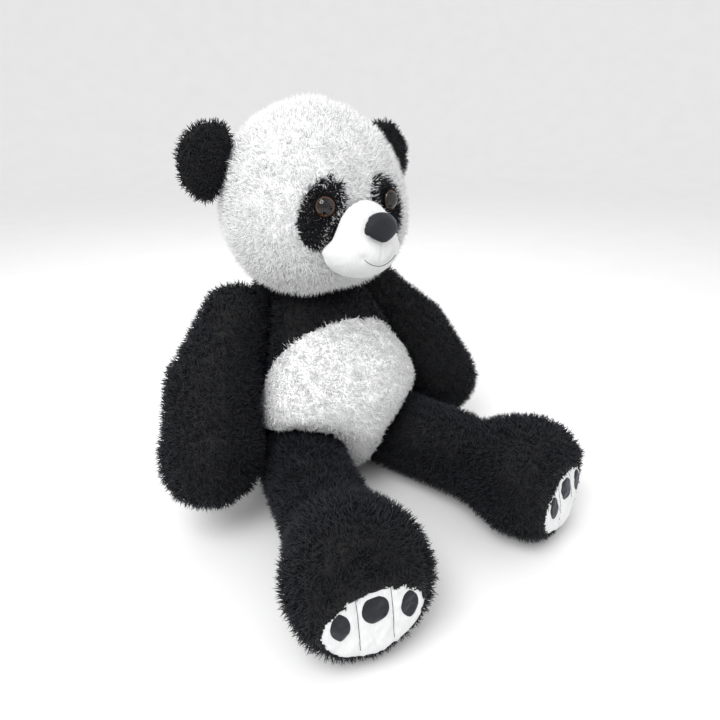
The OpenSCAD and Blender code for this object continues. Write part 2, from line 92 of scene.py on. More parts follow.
class NodeSketch:
    """Adds nodes to a tree, with their sockets given by name."""

    def __init__(self, tree: bpy.types.NodeTree) -> None:
        """Works on one tree.

        Args:
            tree: A material's or a geometry modifier's node tree.
        """
        self.tree = tree

    def add(self, kind: str, settings: dict[str, object] | None = None, **sockets: object) -> bpy.types.Node:
        """Adds a node.

        Args:
            kind: The node's type.
            settings: Its properties.
            sockets: Its inputs, with _ for a space; each is a value or another node's output.

        Returns:
            The new node.
        """
        node = self.tree.nodes.new(kind)
        for name, value in (settings or {}).items():
            setattr(node, name, value)
        for name, value in sockets.items():
            wanted = name.replace("_", " ")
            self.feed(next(s for s in node.inputs if s.enabled and s.name == wanted), value)
        return node

    def feed(self, socket: bpy.types.NodeSocket, value: object) -> None:
        """Links an output to a socket, or sets the socket's own value."""
        if isinstance(value, bpy.types.NodeSocket):
            self.tree.links.new(value, socket)
        else:
            socket.default_value = value

    def out(
        self, kind: str, settings: dict[str, object] | None = None, **sockets: object
    ) -> bpy.types.NodeSocket:
        """Adds a node and returns its first live output."""
        return next(s for s in self.add(kind, settings, **sockets).outputs if s.enabled)

    def sum(self, operation: str, *values: object) -> bpy.types.NodeSocket:
        """One operation on numbers, such as MULTIPLY."""
        return self._several("ShaderNodeMath", operation, values)

    def vector(self, operation: str, *values: object) -> bpy.types.NodeSocket:
        """One operation on vectors or colours, such as SUBTRACT."""
        return self._several("ShaderNodeVectorMath", operation, values)

    def scaled(self, vector: bpy.types.NodeSocket, factor: object) -> bpy.types.NodeSocket:
        """A vector or colour times a number."""
        node = self.add("ShaderNodeVectorMath", {"operation": "SCALE"}, Scale=factor)
        self.feed(node.inputs[0], vector)
        return node.outputs[0]

    def _several(self, kind: str, operation: str, values: tuple[object, ...]) -> bpy.types.NodeSocket:
        """Adds a maths node with its inputs in order."""
        node = self.add(kind, {"operation": operation})
        for socket, value in zip(node.inputs, values):
            self.feed(socket, value)
        return next(s for s in node.outputs if s.enabled)


class Recipe(NodeSketch):
    """A material whose pattern lies on the piece's own coordinates."""

    def __init__(self, name: str) -> None:
        """Makes the material.

        Args:
            name: The material's name.
        """
        self.material = bpy.data.materials.new(name)
        self.material.use_nodes = True
        super().__init__(self.material.node_tree)
        self.shader = self.tree.nodes["Principled BSDF"]
        self.place = self.add("ShaderNodeTexCoord").outputs["Object"]

    def noise(self, scale: float, detail: float = 2, rough: float = 0.5) -> bpy.types.NodeSocket:
        """Soft noise with that many cells to the metre."""
        return self.out("ShaderNodeTexNoise", Vector=self.place, Scale=scale, Detail=detail, Roughness=rough)

    def attribute(self, name: str) -> bpy.types.NodeSocket:
        """A number stored on the mesh."""
        return self.add("ShaderNodeAttribute", {"attribute_name": name}).outputs["Fac"]

    def ramp(self, factor: bpy.types.NodeSocket, *stops: tuple[float, Colour]) -> bpy.types.NodeSocket:
        """Colours along a factor.

        Args:
            factor: The number that picks the colour.
            stops: Pairs of a place from 0 to 1 and a colour.

        Returns:
            The colour.
        """
        node = self.add("ShaderNodeValToRGB", Fac=factor)
        band = node.color_ramp
        while len(band.elements) < len(stops):
            band.elements.new(0.5)
        for element, (place, colour) in zip(band.elements, stops):
            element.position = place
            element.color = (*colour, 1)
        return node.outputs["Color"]

    def band(self, factor: bpy.types.NodeSocket, low: float, high: float) -> bpy.types.NodeSocket:
        """A factor from 0 to 1 stretched to run from low to high."""
        return self.out("ShaderNodeMapRange", Value=factor, To_Min=low, To_Max=high)

    def bump(self, height: bpy.types.NodeSocket, strength: float, depth: float) -> bpy.types.NodeSocket:
        """A normal from a height, depth metres deep."""
        return self.out("ShaderNodeBump", Strength=strength, Distance=depth, Height=height)

    def finish(self, **sockets: object) -> bpy.types.Material:
        """Sets the shader's sockets and returns the material."""
        for name, value in sockets.items():
            self.feed(self.shader.inputs[name.replace("_", " ")], value)
        return self.material


Colour = tuple[float, float, float]


@dataclass(frozen=True)
class PileFinish:
    """Long pile: darker at the roots as painted shade among the locks, each lock a little lighter or darker
    than its neighbours.
    """

    name: str
    # Colours along a lock from root to tip; the darker root is painted shade.
    root: Colour
    middle: Colour
    tip: Colour
    spread: float
    roughness: float
    sheen: float
    sheen_tint: Colour
    relief: float

    def material(self) -> bpy.types.Material:
        """Builds the finish."""
        recipe = Recipe(self.name)
        # Painted shade: the colour runs along rise from the darker root to the lighter tip, and the skin under
        # the locks, which has neither rise nor lock, takes the darkest root colour.
        shade = recipe.ramp(recipe.attribute("rise"), (0.0, self.root), (0.45, self.middle), (1.0, self.tip))
        lock = recipe.band(recipe.attribute("lock"), 1 - self.spread, 1 + self.spread)
        patch = recipe.band(recipe.noise(34, 3), 1 - self.spread * 0.8, 1 + self.spread * 0.8)
        fibre = recipe.noise(1400, 2, 0.6)
        strands = recipe.out(
            "ShaderNodeTexNoise",
            Vector=recipe.vector("MULTIPLY", recipe.place, (1.0, 1.0, 0.3)),
            Scale=420.0,
            Detail=5.0,
            Roughness=0.7,
            Distortion=0.6,
        )
        height = recipe.sum("ADD", strands, recipe.sum("MULTIPLY", fibre, 0.3))
        return recipe.finish(
            Base_Color=recipe.scaled(shade, recipe.sum("MULTIPLY", lock, patch)),
            Roughness=recipe.band(fibre, self.roughness - 0.12, min(1.0, self.roughness + 0.12)),
            Normal=recipe.bump(height, self.relief, 1.6 * MM),
            Sheen_Weight=self.sheen,
            Sheen_Roughness=0.45,
            Sheen_Tint=(*self.sheen_tint, 1),
            Specular_IOR_Level=0.35,
        )


@dataclass(frozen=True)
class NapFinish:
    """Short, smooth plush: a fine nap, faint brushed streaks and soft cloudy painted shade, lighter on the
    raised streaks.
    """

    name: str
    low: Colour
    high: Colour

    def material(self) -> bpy.types.Material:
        """Builds the finish."""
        recipe = Recipe(self.name)
        streaks = recipe.out(
            "ShaderNodeTexNoise",
            Vector=recipe.vector("MULTIPLY", recipe.place, (1.0, 1.0, 0.22)),
            Scale=420.0,
            Detail=4.0,
            Roughness=0.65,
        )
        nap = recipe.noise(1500, 3, 0.7)
        cloud = recipe.noise(45, 2)
        height = recipe.sum("ADD", recipe.sum("MULTIPLY", nap, 0.7), recipe.sum("MULTIPLY", streaks, 0.6))
        # Painted shade: lighter on the raised streaks, which also give the bump, and in soft clouds.
        streak_and_cloud_shade = recipe.sum("ADD", recipe.sum("MULTIPLY", streaks, 0.6), recipe.sum("MULTIPLY", cloud, 0.4))
        shade = recipe.ramp(streak_and_cloud_shade, (0.25, self.low), (0.7, self.high))
        return recipe.finish(
            Base_Color=shade,
            Roughness=recipe.band(nap, 0.78, 0.98),
            Normal=recipe.bump(height, 0.5, 0.5 * MM),
            Sheen_Weight=0.35,
            Sheen_Roughness=0.5,
            Specular_IOR_Level=0.2,
        )


@dataclass(frozen=True)
class WeaveFinish:
    """Closely woven or knitted cloth, as on the nose and the toe pads, with painted shade in the grooves of
    the weave.
    """

    name: str
    low: Colour
    high: Colour
    pitch: float
    roughness: float

    def material(self) -> bpy.types.Material:
        """Builds the finish."""
        recipe = Recipe(self.name)
        rows = [
            recipe.out(
                "ShaderNodeTexWave",
                {"bands_direction": way},
                Vector=recipe.place,
                Scale=1 / self.pitch / math.tau,
                Distortion=0.6,
                Detail=1.0,
                Detail_Scale=2.0,
            )
            for way in ("X", "Z")
        ]
        heights = [recipe.add("ShaderNodeSeparateColor", Color=row).outputs[0] for row in rows]
        weave = recipe.sum("MAXIMUM", *heights)
        cloud = recipe.noise(160, 3)
        # Painted shade: the grooves of the weave are darker and its ridges lighter, on the same heights as the
        # bump; the cloud noise makes it patchy at random.
        groove_shade_and_patches = recipe.sum("MULTIPLY", weave, recipe.band(cloud, 0.6, 1.2))
        shade = recipe.ramp(groove_shade_and_patches, (0.1, self.low), (0.95, self.high))
        return recipe.finish(
            Base_Color=shade,
            Roughness=recipe.band(cloud, self.roughness - 0.1, self.roughness + 0.1),
            Normal=recipe.bump(weave, 0.5, 0.25 * MM),
            Sheen_Weight=0.25,
            Sheen_Roughness=0.4,
            Sheen_Tint=(0.7, 0.75, 0.9, 1),
            Specular_IOR_Level=0.3,
        )


@dataclass(frozen=True)
class ThreadFinish:
    """Spun sewing thread, with its twist as slanting ridges and painted shade in the grooves between them."""

    name: str
    low: Colour
    high: Colour

    def material(self) -> bpy.types.Material:
        """Builds the finish."""
        recipe = Recipe(self.name)
        ply = recipe.out(
            "ShaderNodeTexWave",
            {"bands_direction": "DIAGONAL"},
            Vector=recipe.place,
            Scale=300.0,
            Distortion=0.4,
        )
        return recipe.finish(
            # Painted shade: darker in the grooves of the twist, lighter on its ridges.
            Base_Color=recipe.ramp(ply, (0.2, self.low), (0.9, self.high)),
            Roughness=recipe.band(recipe.noise(900), 0.45, 0.7),
            Normal=recipe.bump(ply, 0.6, 0.2 * MM),
        )


@dataclass(frozen=True)
class FibreFinish:
    """Loose polyester filling, with painted shade in the hollows of its tangle."""

    name: str
    low: Colour
    high: Colour

    def material(self) -> bpy.types.Material:
        """Builds the finish."""
        recipe = Recipe(self.name)
        tangle = recipe.noise(380, 5, 0.75)
        return recipe.finish(
            # Painted shade: darker in the hollows of the tangle, lighter on its raised fibres, on the same
            # heights as the bump.
            Base_Color=recipe.ramp(tangle, (0.3, self.low), (0.7, self.high)),
            Roughness=recipe.band(tangle, 0.8, 1.0),
            Normal=recipe.bump(tangle, 0.8, 1.5 * MM),
            Sheen_Weight=0.3,
        )


@dataclass(frozen=True)
class MouldedFinish:
    """Moulded plastic with a fine spark-eroded grain."""

    name: str
    low: Colour
    high: Colour
    roughness: float

    def material(self) -> bpy.types.Material:
        """Builds the finish."""
        recipe = Recipe(self.name)
        grain = recipe.noise(2200, 2)
        return recipe.finish(
            Base_Color=recipe.ramp(recipe.noise(120, 2), (0.3, self.low), (0.7, self.high)),
            Roughness=recipe.band(grain, self.roughness - 0.08, self.roughness + 0.08),
            Normal=recipe.bump(grain, 0.2, 0.05 * MM),
        )


@dataclass(frozen=True)
class IrisFinish:
    """A painted eye: black pupil, brown iris with fine rays, darker rim.

    It reads the share of the disc's radius from the attribute reach.
    """

    name: str
    pupil: Colour
    inner: Colour
    outer: Colour
    pupil_share: float

    def material(self) -> bpy.types.Material:
        """Builds the finish."""
        recipe = Recipe(self.name)
        reach = recipe.attribute("reach")
        rays = recipe.noise(900, 3, 0.7)
        mixed = recipe.sum("ADD", reach, recipe.band(rays, -0.04, 0.04))
        edge = self.pupil_share
        stops = ((edge, self.pupil), (edge + 0.05, self.inner), (0.84, self.outer), (0.98, self.pupil))
        shade = recipe.ramp(mixed, *stops)
        return recipe.finish(
            Base_Color=recipe.scaled(shade, recipe.band(rays, 0.7, 1.35)),
            Roughness=recipe.band(rays, 0.45, 0.6),
            Specular_IOR_Level=0.1,
            Normal=recipe.bump(rays, 0.15, 0.1 * MM),
        )


@dataclass(frozen=True)
class LensFinish:
    """Clear polished plastic with a few faint wipe marks."""

    name: str

    def material(self) -> bpy.types.Material:
        """Builds the finish."""
        recipe = Recipe(self.name)
        return recipe.finish(
            Base_Color=recipe.ramp(recipe.noise(60), (0.3, (0.97, 0.96, 0.94)), (0.7, (1.0, 1.0, 1.0))),
            Roughness=recipe.band(recipe.noise(700, 3), 0.005, 0.05),
            Transmission_Weight=1.0,
            IOR=1.49,
        )


FINISHES = {
    Slot.WHITE: PileFinish(
        "white_pile",
        # root, middle and tip: painted shade, a little darker towards the roots.
        root=(0.96, 0.96, 0.965),
        middle=(0.975, 0.977, 0.98),
        tip=(0.985, 0.987, 0.99),
        spread=0.015,
        roughness=0.9,
        sheen=0.25,
        sheen_tint=(1, 1, 1),
        relief=0.45,
    ),
    Slot.BLACK: PileFinish(
        "black_pile",
        # root, middle and tip: painted shade, much darker towards the roots.
        root=(0.0008, 0.0008, 0.001),
        middle=(0.003, 0.0032, 0.0045),
        tip=(0.013, 0.0145, 0.021),
        spread=0.5,
        roughness=0.6,
        sheen=0.06,
        sheen_tint=(0.55, 0.62, 0.85),
        relief=0.7,
    ),
    Slot.SHORT: NapFinish("short_nap", (0.66, 0.665, 0.67), (0.82, 0.82, 0.825)),
    Slot.CLOTH: WeaveFinish("black_weave", (0.003, 0.003, 0.004), (0.016, 0.017, 0.022), 0.75 * MM, 0.62),
    Slot.STUFFING: FibreFinish("white_filling", (0.72, 0.72, 0.72), (0.93, 0.93, 0.94)),
    Slot.LENS: LensFinish("clear_lens"),
    Slot.IRIS: IrisFinish(
        "brown_iris", (0.001, 0.001, 0.001), (0.06, 0.02, 0.007), (0.13, 0.042, 0.013), pupil_share=0.66
    ),
    Slot.POST: MouldedFinish("black_moulding", (0.012, 0.012, 0.013), (0.03, 0.03, 0.032), 0.45),
    Slot.WASHER: MouldedFinish("white_moulding", (0.72, 0.72, 0.7), (0.84, 0.84, 0.82), 0.5),
    Slot.THREAD: ThreadFinish("black_thread", (0.004, 0.004, 0.004), (0.03, 0.03, 0.035)),
}


# Words in the names of nodes that lie out of sight, which leave pile its full room
INNER_WORDS = ("stuffing", "seam", "post", "washer", "pads", "thread", "iris", "lens")

# ---------- Meshes ----------


def piece_from(name: str, work: bmesh.types.BMesh) -> bpy.types.Object:
    """Makes an object of a bmesh, which is freed.

    Args:
        name: The piece's name.
        work: Its mesh, in place.

    Returns:
        The object, at the origin.
    """
    mesh = bpy.data.meshes.new(name)
    work.to_mesh(mesh)
    work.free()
    piece = bpy.data.objects.new(name, mesh)
    bpy.context.scene.collection.objects.link(piece)
    return piece


def merged_copy(node: str) -> bmesh.types.BMesh:
    """A copy of a CAD node's mesh with its loose triangles joined."""
    work = bmesh.new()
    work.from_mesh(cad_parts[node].data)
    bmesh.ops.remove_doubles(work, verts=work.verts, dist=0.02 * MM)
    return work


def applied(piece: bpy.types.Object) -> bpy.types.Object:
    """Applies all of a piece's modifiers."""
    graph = bpy.context.evaluated_depsgraph_get()
    mesh = bpy.data.meshes.new_from_object(piece.evaluated_get(graph), depsgraph=graph)
    old = piece.data
    piece.modifiers.clear()
    piece.data = mesh
    mesh.name = piece.name
    bpy.data.meshes.remove(old)
    return piece


def modified(piece: bpy.types.Object, kind: str, **settings: object) -> bpy.types.Object:
    """Adds one modifier to a piece and applies it."""
    modifier = piece.modifiers.new(kind.lower(), kind)
    for name, value in settings.items():
        setattr(modifier, name, value)
    return applied(piece)


def surface_of(nodes: list[str]) -> BVHTree:
    """A search tree over the surfaces of some CAD nodes."""
    corners: list[Vector] = []
    faces: list[list[int]] = []
    for node in nodes:
        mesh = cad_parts[node].data
        first = len(corners)
        corners.extend(v.co.copy() for v in mesh.vertices)
        faces.extend([first + i for i in p.vertices] for p in mesh.polygons)
    return BVHTree.FromPolygons(corners, faces)


@lru_cache(maxsize=None)
def box_of(node: str) -> tuple[Vector, Vector]:
    """A CAD node's lowest and highest corners."""
    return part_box(node)


def middle_of(node: str) -> Vector:
    """The middle of a CAD node's box."""
    low, high = box_of(node)
    return (low + high) / 2


def smoothed(piece: bpy.types.Object) -> bpy.types.Object:
    """Shades every face smooth."""
    piece.data.polygons.foreach_set("use_smooth", [True] * len(piece.data.polygons))
    return piece


def dressed(piece: bpy.types.Object, slot: Slot, body: str, *nodes: str) -> bpy.types.Object:
    """Gives a piece its finish, its body and the CAD nodes that it stands for.

    Args:
        piece: The finished piece.
        slot: The material slot it takes its finish from.
        body: The body it moves with.
        nodes: The CAD nodes it replaces.

    Returns:
        The piece.
    """
    piece.data.materials.clear()
    piece.data.materials.append(MATERIALS[slot])
    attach(piece, body)
    if nodes:
        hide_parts(*nodes)
    LOG.info("%s: %d faces, on %s", piece.name, len(piece.data.polygons), body)
    return piece


MATERIALS = {slot: finish.material() for slot, finish in FINISHES.items()}


# ---------- Pile ----------


@dataclass(frozen=True)
class Flow:
    """The way a pile is brushed: one steady run, and a spread away from a centre."""

    run: Vector
    centre: Vector = field(default_factory=Vector)
    spread: float = 0.0

    def at(self, place: Vector) -> Vector:
        """The brushed direction at a place."""
        return (self.run + (place - self.centre).normalized() * self.spread).normalized()


@dataclass(frozen=True)
class Pile:
    """Pile as locks of fibre.

    Attributes:
        length: Length of a lock.
        width: Width of a lock at its root.
        spacing: Least distance between roots.
        lean: How far the locks lie over, against 1 for standing up.
        sway: How far whole groups of locks lean away from the run.
        stray: How far single locks lean away.
        curl: How far a lock's tip bends over, as a share of its length.
        stages: Rings between root and tip.
        seed: Seed of every random draw.
    """

    length: float
    width: float
    spacing: float
    lean: float
    sway: float = 0.55
    stray: float = 0.25
    curl: float = 0.35
    stages: int = 2
    seed: int = 1

    def lock(self) -> bpy.types.Object:
        """One lock: a thin three-sided horn that bends over and ends in a point."""
        work = bmesh.new()
        bmesh.ops.create_circle(work, cap_ends=True, radius=self.width / 2, segments=3)
        top = work.faces[:]
        for stage in range(1, self.stages + 1):
            before, share = (stage - 1) / self.stages, stage / self.stages
            grown = bmesh.ops.extrude_face_region(work, geom=top)["geom"]
            top = [g for g in grown if isinstance(g, bmesh.types.BMFace)]
            ring = [g for g in grown if isinstance(g, bmesh.types.BMVert)]
            sideways = self.curl * (share**2 - before**2)
            step = (self.length * sideways, 0, self.length * (share - before))
            bmesh.ops.translate(work, verts=ring, vec=step)
            centre = sum((v.co for v in ring), Vector()) / len(ring)
            if stage < self.stages:
                thinned = Matrix.Translation(centre) @ Matrix.Scale(0.82, 4) @ Matrix.Translation(-centre)
                bmesh.ops.transform(work, verts=ring, matrix=thinned)
            else:
                bmesh.ops.pointmerge(work, verts=ring, merge_co=centre)
        bmesh.ops.recalc_face_normals(work, faces=work.faces)
        mesh = bpy.data.meshes.new("lock")
        work.to_mesh(mesh)
        work.free()
        # rise: each point's share of the lock's height, along which the finish paints shade darker towards the
        # root.
        rise = mesh.attributes.new("rise", "FLOAT", "POINT")
        rise.data.foreach_set("value", [max(0.02, v.co.z / self.length) for v in mesh.vertices])
        return bpy.data.objects.new("lock", mesh)

    def grow(self, skin: bpy.types.Object) -> bpy.types.Object:
        """Covers a skin's outer faces with locks.

        The skin carries the attributes outer (1 on its outer faces), flow (the brushed direction), cover (how
        densely it is covered) and room (the share of a lock's length that fits there).

        Args:
            skin: The piece to cover.

        Returns:
            The same piece, with its locks.
        """
        lock = self.lock()
        tree = bpy.data.node_groups.new("pile", "GeometryNodeTree")
        tree.interface.new_socket("Geometry", in_out="INPUT", socket_type="NodeSocketGeometry")
        tree.interface.new_socket("Geometry", in_out="OUTPUT", socket_type="NodeSocketGeometry")
        sketch = NodeSketch(tree)
        skin_in = sketch.add("NodeGroupInput").outputs[0]

        def stored(name: str, kind: str) -> bpy.types.NodeSocket:
            """An attribute of the skin."""
            return sketch.out("GeometryNodeInputNamedAttribute", {"data_type": kind}, Name=name)

        def centred_noise(cell: float, reach: float) -> bpy.types.NodeSocket:
            """Smooth sideways sway, in cells of that size."""
            node = sketch.add("ShaderNodeTexNoise", Scale=1 / cell, Detail=1.0)
            centred = sketch.vector("SUBTRACT", node.outputs["Color"], (0.5, 0.5, 0.5))
            return sketch.scaled(centred, 2.4 * reach)

        roots = sketch.add(
            "GeometryNodeDistributePointsOnFaces",
            {"distribute_method": "POISSON"},
            Mesh=skin_in,
            Selection=sketch.sum("GREATER_THAN", stored("outer", "FLOAT"), 0.5),
            Distance_Min=self.spacing,
            Density_Max=1.4 / self.spacing**2,
            Density_Factor=stored("cover", "FLOAT"),
            Seed=self.seed,
        )
        normal = roots.outputs["Normal"]
        kept = sketch.out(
            "GeometryNodeStoreNamedAttribute",
            {"data_type": "FLOAT_VECTOR", "domain": "POINT"},
            Geometry=roots.outputs["Points"],
            Name="upright",
            Value=normal,
        )
        upright = stored("upright", "FLOAT_VECTOR")
        flow = stored("flow", "FLOAT_VECTOR")
        rise = sketch.vector("DOT_PRODUCT", flow, upright)
        along = sketch.vector("SUBTRACT", flow, sketch.scaled(upright, rise))
        stray = sketch.out(
            "FunctionNodeRandomValue",
            {"data_type": "FLOAT_VECTOR"},
            Min=(-self.stray,) * 3,
            Max=(self.stray,) * 3,
            Seed=self.seed + 1,
        )
        sway = sketch.vector("ADD", centred_noise(22 * MM, self.sway), centred_noise(7 * MM, self.sway * 0.7))
        lean = sketch.vector("ADD", sketch.scaled(along, self.lean), sketch.vector("ADD", sway, stray))
        aim = sketch.vector("NORMALIZE", sketch.vector("ADD", upright, lean))
        standing = sketch.out("FunctionNodeAlignRotationToVector", {"axis": "Z"}, Vector=aim)
        turned = sketch.out(
            "FunctionNodeAlignRotationToVector",
            {"axis": "X", "pivot_axis": "Z"},
            Rotation=standing,
            Vector=lean,
        )
        size = sketch.out(
            "FunctionNodeRandomValue", {"data_type": "FLOAT"}, Min=0.72, Max=1.22, Seed=self.seed + 2
        )
        room = stored("room", "FLOAT")
        locks = sketch.out(
            "GeometryNodeInstanceOnPoints",
            Points=kept,
            Instance=sketch.add("GeometryNodeObjectInfo", Object=lock, As_Instance=True).outputs["Geometry"],
            Rotation=turned,
            Scale=sketch.out("ShaderNodeCombineXYZ", X=size, Y=size, Z=sketch.sum("MULTIPLY", size, room)),
        )
        tinted = sketch.out(
            "GeometryNodeStoreNamedAttribute",
            {"data_type": "FLOAT", "domain": "INSTANCE"},
            Geometry=locks,
            Name="lock",
            Value=sketch.out(
                "FunctionNodeRandomValue", {"data_type": "FLOAT"}, Min=0.0, Max=1.0, Seed=self.seed + 3
            ),
        )
        real = sketch.out("GeometryNodeRealizeInstances", Geometry=tinted)
        spot = sketch.add("ShaderNodeSeparateXYZ", Vector=sketch.out("GeometryNodeInputPosition"))
        rested = sketch.out(
            "GeometryNodeSetPosition",
            Geometry=real,
            Position=sketch.out(
                "ShaderNodeCombineXYZ",
                X=spot.outputs[0],
                Y=spot.outputs[1],
                Z=sketch.sum("MAXIMUM", spot.outputs[2], 0.2 * MM),
            ),
        )
        whole = sketch.add("GeometryNodeJoinGeometry")
        for part in (skin_in, rested):
            tree.links.new(part, whole.inputs[0])
        tree.links.new(whole.outputs[0], sketch.add("NodeGroupOutput").inputs[0])
        modified(skin, "NODES", node_group=tree)
        bpy.data.node_groups.remove(tree)
        bpy.data.objects.remove(lock)
        for spare in ("upright", "outer", "flow", "cover", "room"):
            if spare in skin.data.attributes:
                skin.data.attributes.remove(skin.data.attributes[spare])
        return skin


LONG_WHITE = Pile(13 * MM, 1.2 * MM, 2.0 * MM, lean=2.6, sway=0.75, stray=0.32, curl=0.15, seed=11)
CURLY_WHITE = Pile(8 * MM, 1.2 * MM, 2.0 * MM, lean=1.9, sway=1.4, stray=0.6, curl=0.3, seed=21)
LONG_BLACK = Pile(13 * MM, 1.55 * MM, 2.55 * MM, lean=2.3, sway=1.0, stray=0.35, curl=0.15, seed=31)
EAR_BLACK = Pile(9 * MM, 1.5 * MM, 1.9 * MM, lean=1.6, sway=0.8, stray=0.45, curl=0.2, seed=41)
PATCH_BLACK = Pile(11 * MM, 1.6 * MM, 1.6 * MM, lean=2.0, sway=0.8, stray=0.5, curl=0.1, seed=51)


# ---------- Stuffed bodies ----------


@dataclass(frozen=True)
class Panel:
    """One panel of a stuffed cover.

    Attributes:
        node: The CAD node it stands for.
        slot: Its material slot.
        flow: The way its pile is brushed.
        pile: Its pile, or None for a smooth cloth.
    """

    node: str
    slot: Slot
    flow: Flow
    pile: Pile | None = None


@dataclass
class StuffedBody:
    """A closed, stuffed cover: blown up round its stuffing, then cut into panels.

    Attributes:
        core: The stuffing's CAD node.
        body: The body it moves with.
        panels: The panels it is sewn from.
        cell: Size of the mesh that the cloth is blown up on.
        stand_off: How far the cover lies outside the stuffing.
        swell: The furthest that the cloth may move outwards.
        fill: How tightly it is stuffed, from 0 to 1; not used.
        fine: True where the cloth shows, so that it is subdivided once.
        wall: Thickness of the cloth.
        parting: The X of a seam that cuts it in two, or None.
        tufts: How high the skin is raised in tufts, or 0 for a smooth one.
        tuft_cell: Size of a tuft across the way it is brushed.
    """

    core: str
    body: str
    panels: list[Panel]
    cell: float = 7 * MM
    stand_off: float = 2.5 * MM
    swell: float = 5 * MM
    fill: float = 0.8
    fine: bool = False
    wall: float = 1.4 * MM
    parting: float | None = None
    tufts: float = 0.0
    tuft_cell: float = 15 * MM

    def build(self) -> list[bpy.types.Object]:
        """Makes every panel's finished piece."""
        whole = self.shape()
        pieces = [self.cut(whole, panel) for panel in self.panels]
        self.add_patches(whole)
        bpy.data.meshes.remove(whole.data)
        return pieces

    def add_patches(self, whole: bpy.types.Object) -> None:
        """Sews on what lies on top of the panels; plain covers have nothing."""

    def shape(self) -> bpy.types.Object:
        """The whole cover, blown up, with each face's panel in owners."""
        whole = piece_from(f"{self.core}_cover", merged_copy(self.core))
        modified(whole, "REMESH", mode="VOXEL", voxel_size=self.cell)
        modified(whole, "SMOOTH", factor=0.5, iterations=3)
        normals = [v.normal.copy() for v in whole.data.vertices]
        for vertex, normal in zip(whole.data.vertices, normals):
            vertex.co += normal * self.stand_off
        surfaces = [surface_of([panel.node]) for panel in self.panels]
        self.blow_up(whole, surfaces)
        if self.tufts:
            self.raise_tufts(whole)
        if self.fine:
            modified(whole, "SUBSURF", levels=1, render_levels=1)
            self.crease(whole)
        if self.parting is not None:
            self.part(whole)
        self.owners = [self.owner(surfaces, polygon.center) for polygon in whole.data.polygons]
        return whole

    def owner(self, surfaces: list[BVHTree], place: Vector) -> int:
        """The panel that lies nearest to a place."""
        if self.parting is not None and len(self.panels) == 2:
            return int(place.x > self.parting)
        return min(range(len(surfaces)), key=lambda i: surfaces[i].find_nearest(place)[3])

    def part(self, whole: bpy.types.Object) -> None:
        """Cuts clean edges along the parting seam."""
        work = bmesh.new()
        work.from_mesh(whole.data)
        everything = work.verts[:] + work.edges[:] + work.faces[:]
        bmesh.ops.bisect_plane(
            work, geom=everything, dist=0.01 * MM, plane_co=(self.parting, 0, 0), plane_no=(1, 0, 0)
        )
        work.to_mesh(whole.data)
        work.free()

    def raise_tufts(self, whole: bpy.types.Object) -> None:
        """Subdivides the skin and raises it in soft tufts, longer along the way the pile is brushed."""
        modified(whole, "SUBSURF", levels=1, render_levels=1)
        flow = self.panels[0].flow
        normals = [v.normal.copy() for v in whole.data.vertices]
        for vertex, normal in zip(whole.data.vertices, normals):
            run = flow.at(vertex.co)
            place = vertex.co - run * vertex.co.dot(run) * 0.45
            broad = noise.noise(place / self.tuft_cell)
            small = noise.noise(place / (self.tuft_cell * 0.42) + Vector((7, 3, 5)))
            rise = 1.3 - 1.5 * abs(broad) - 0.9 * abs(small)
            vertex.co += normal * rise * self.tufts

    def crease(self, whole: bpy.types.Object) -> None:
        """Draws fine creases into the cover; plain covers have none."""

    def blow_up(self, whole: bpy.types.Object, surfaces: list[BVHTree]) -> None:
        """Blows the cloth up with the seams held, and caps how far it moves.

        Args:
            whole: The uncut cover.
            surfaces: Each panel's surface, to find the seams between them.
        """
        mesh = whole.data
        rest = [v.co.copy() for v in mesh.vertices]
        normals = [v.normal.copy() for v in mesh.vertices]
        held = whole.vertex_groups.new(name="seams")
        for index, place in enumerate(rest):
            near = sorted(s.find_nearest(place)[3] for s in surfaces)
            if len(near) > 1 and near[1] - near[0] < self.cell * 0.7:
                held.add([index], 0.85, "REPLACE")
        held.add([min(range(len(rest)), key=lambda i: rest[i].z)], 1.0, "REPLACE")
        cloth = whole.modifiers.new("cloth", "CLOTH")
        cloth.settings.quality = 4
        cloth.settings.mass = 0.25
        cloth.settings.use_pressure = True
        cloth.settings.uniform_pressure_force = 4
        cloth.settings.effector_weights.gravity = 0
        cloth.settings.vertex_group_mass = "seams"
        cloth.point_cache.frame_start = 1
        cloth.point_cache.frame_end = 20
        scene = bpy.context.scene
        for step in range(1, 21):
            scene.frame_set(step)
        graph = bpy.context.evaluated_depsgraph_get()
        blown = [v.co.copy() for v in whole.evaluated_get(graph).data.vertices]
        whole.modifiers.remove(cloth)
        scene.frame_set(1)
        for vertex, before, normal, after in zip(mesh.vertices, rest, normals, blown):
            move = after - before
            outwards = max(-0.5 * MM, min(self.swell, move.dot(normal)))
            sideways = move - normal * move.dot(normal)
            if sideways.length > self.swell / 2:
                sideways *= self.swell / 2 / sideways.length
            vertex.co = before + normal * outwards + sideways
        whole.vertex_groups.clear()

    def cut(self, whole: bpy.types.Object, panel: Panel) -> bpy.types.Object:
        """Cuts one panel out of the cover and finishes it.

        Args:
            whole: The uncut cover.
            panel: The panel.

        Returns:
            The finished piece.
        """
        mine = self.panels.index(panel)
        work = bmesh.new()
        work.from_mesh(whole.data)
        work.faces.ensure_lookup_table()
        others = [work.faces[i] for i, owner in enumerate(self.owners) if owner != mine]
        bmesh.ops.delete(work, geom=others, context="FACES")
        piece = piece_from(panel.node + "_skin", work)
        count = len(piece.data.polygons)
        modified(piece, "SOLIDIFY", thickness=self.wall, offset=-1)
        if panel.pile:
            self.prepare(piece, panel, count)
            panel.pile.grow(piece)
        self.finish_panel(piece, panel)
        dressed(smoothed(piece), panel.slot, self.body, panel.node)
        return piece

    def finish_panel(self, piece: bpy.types.Object, panel: Panel) -> None:
        """Adds what only some panels have."""

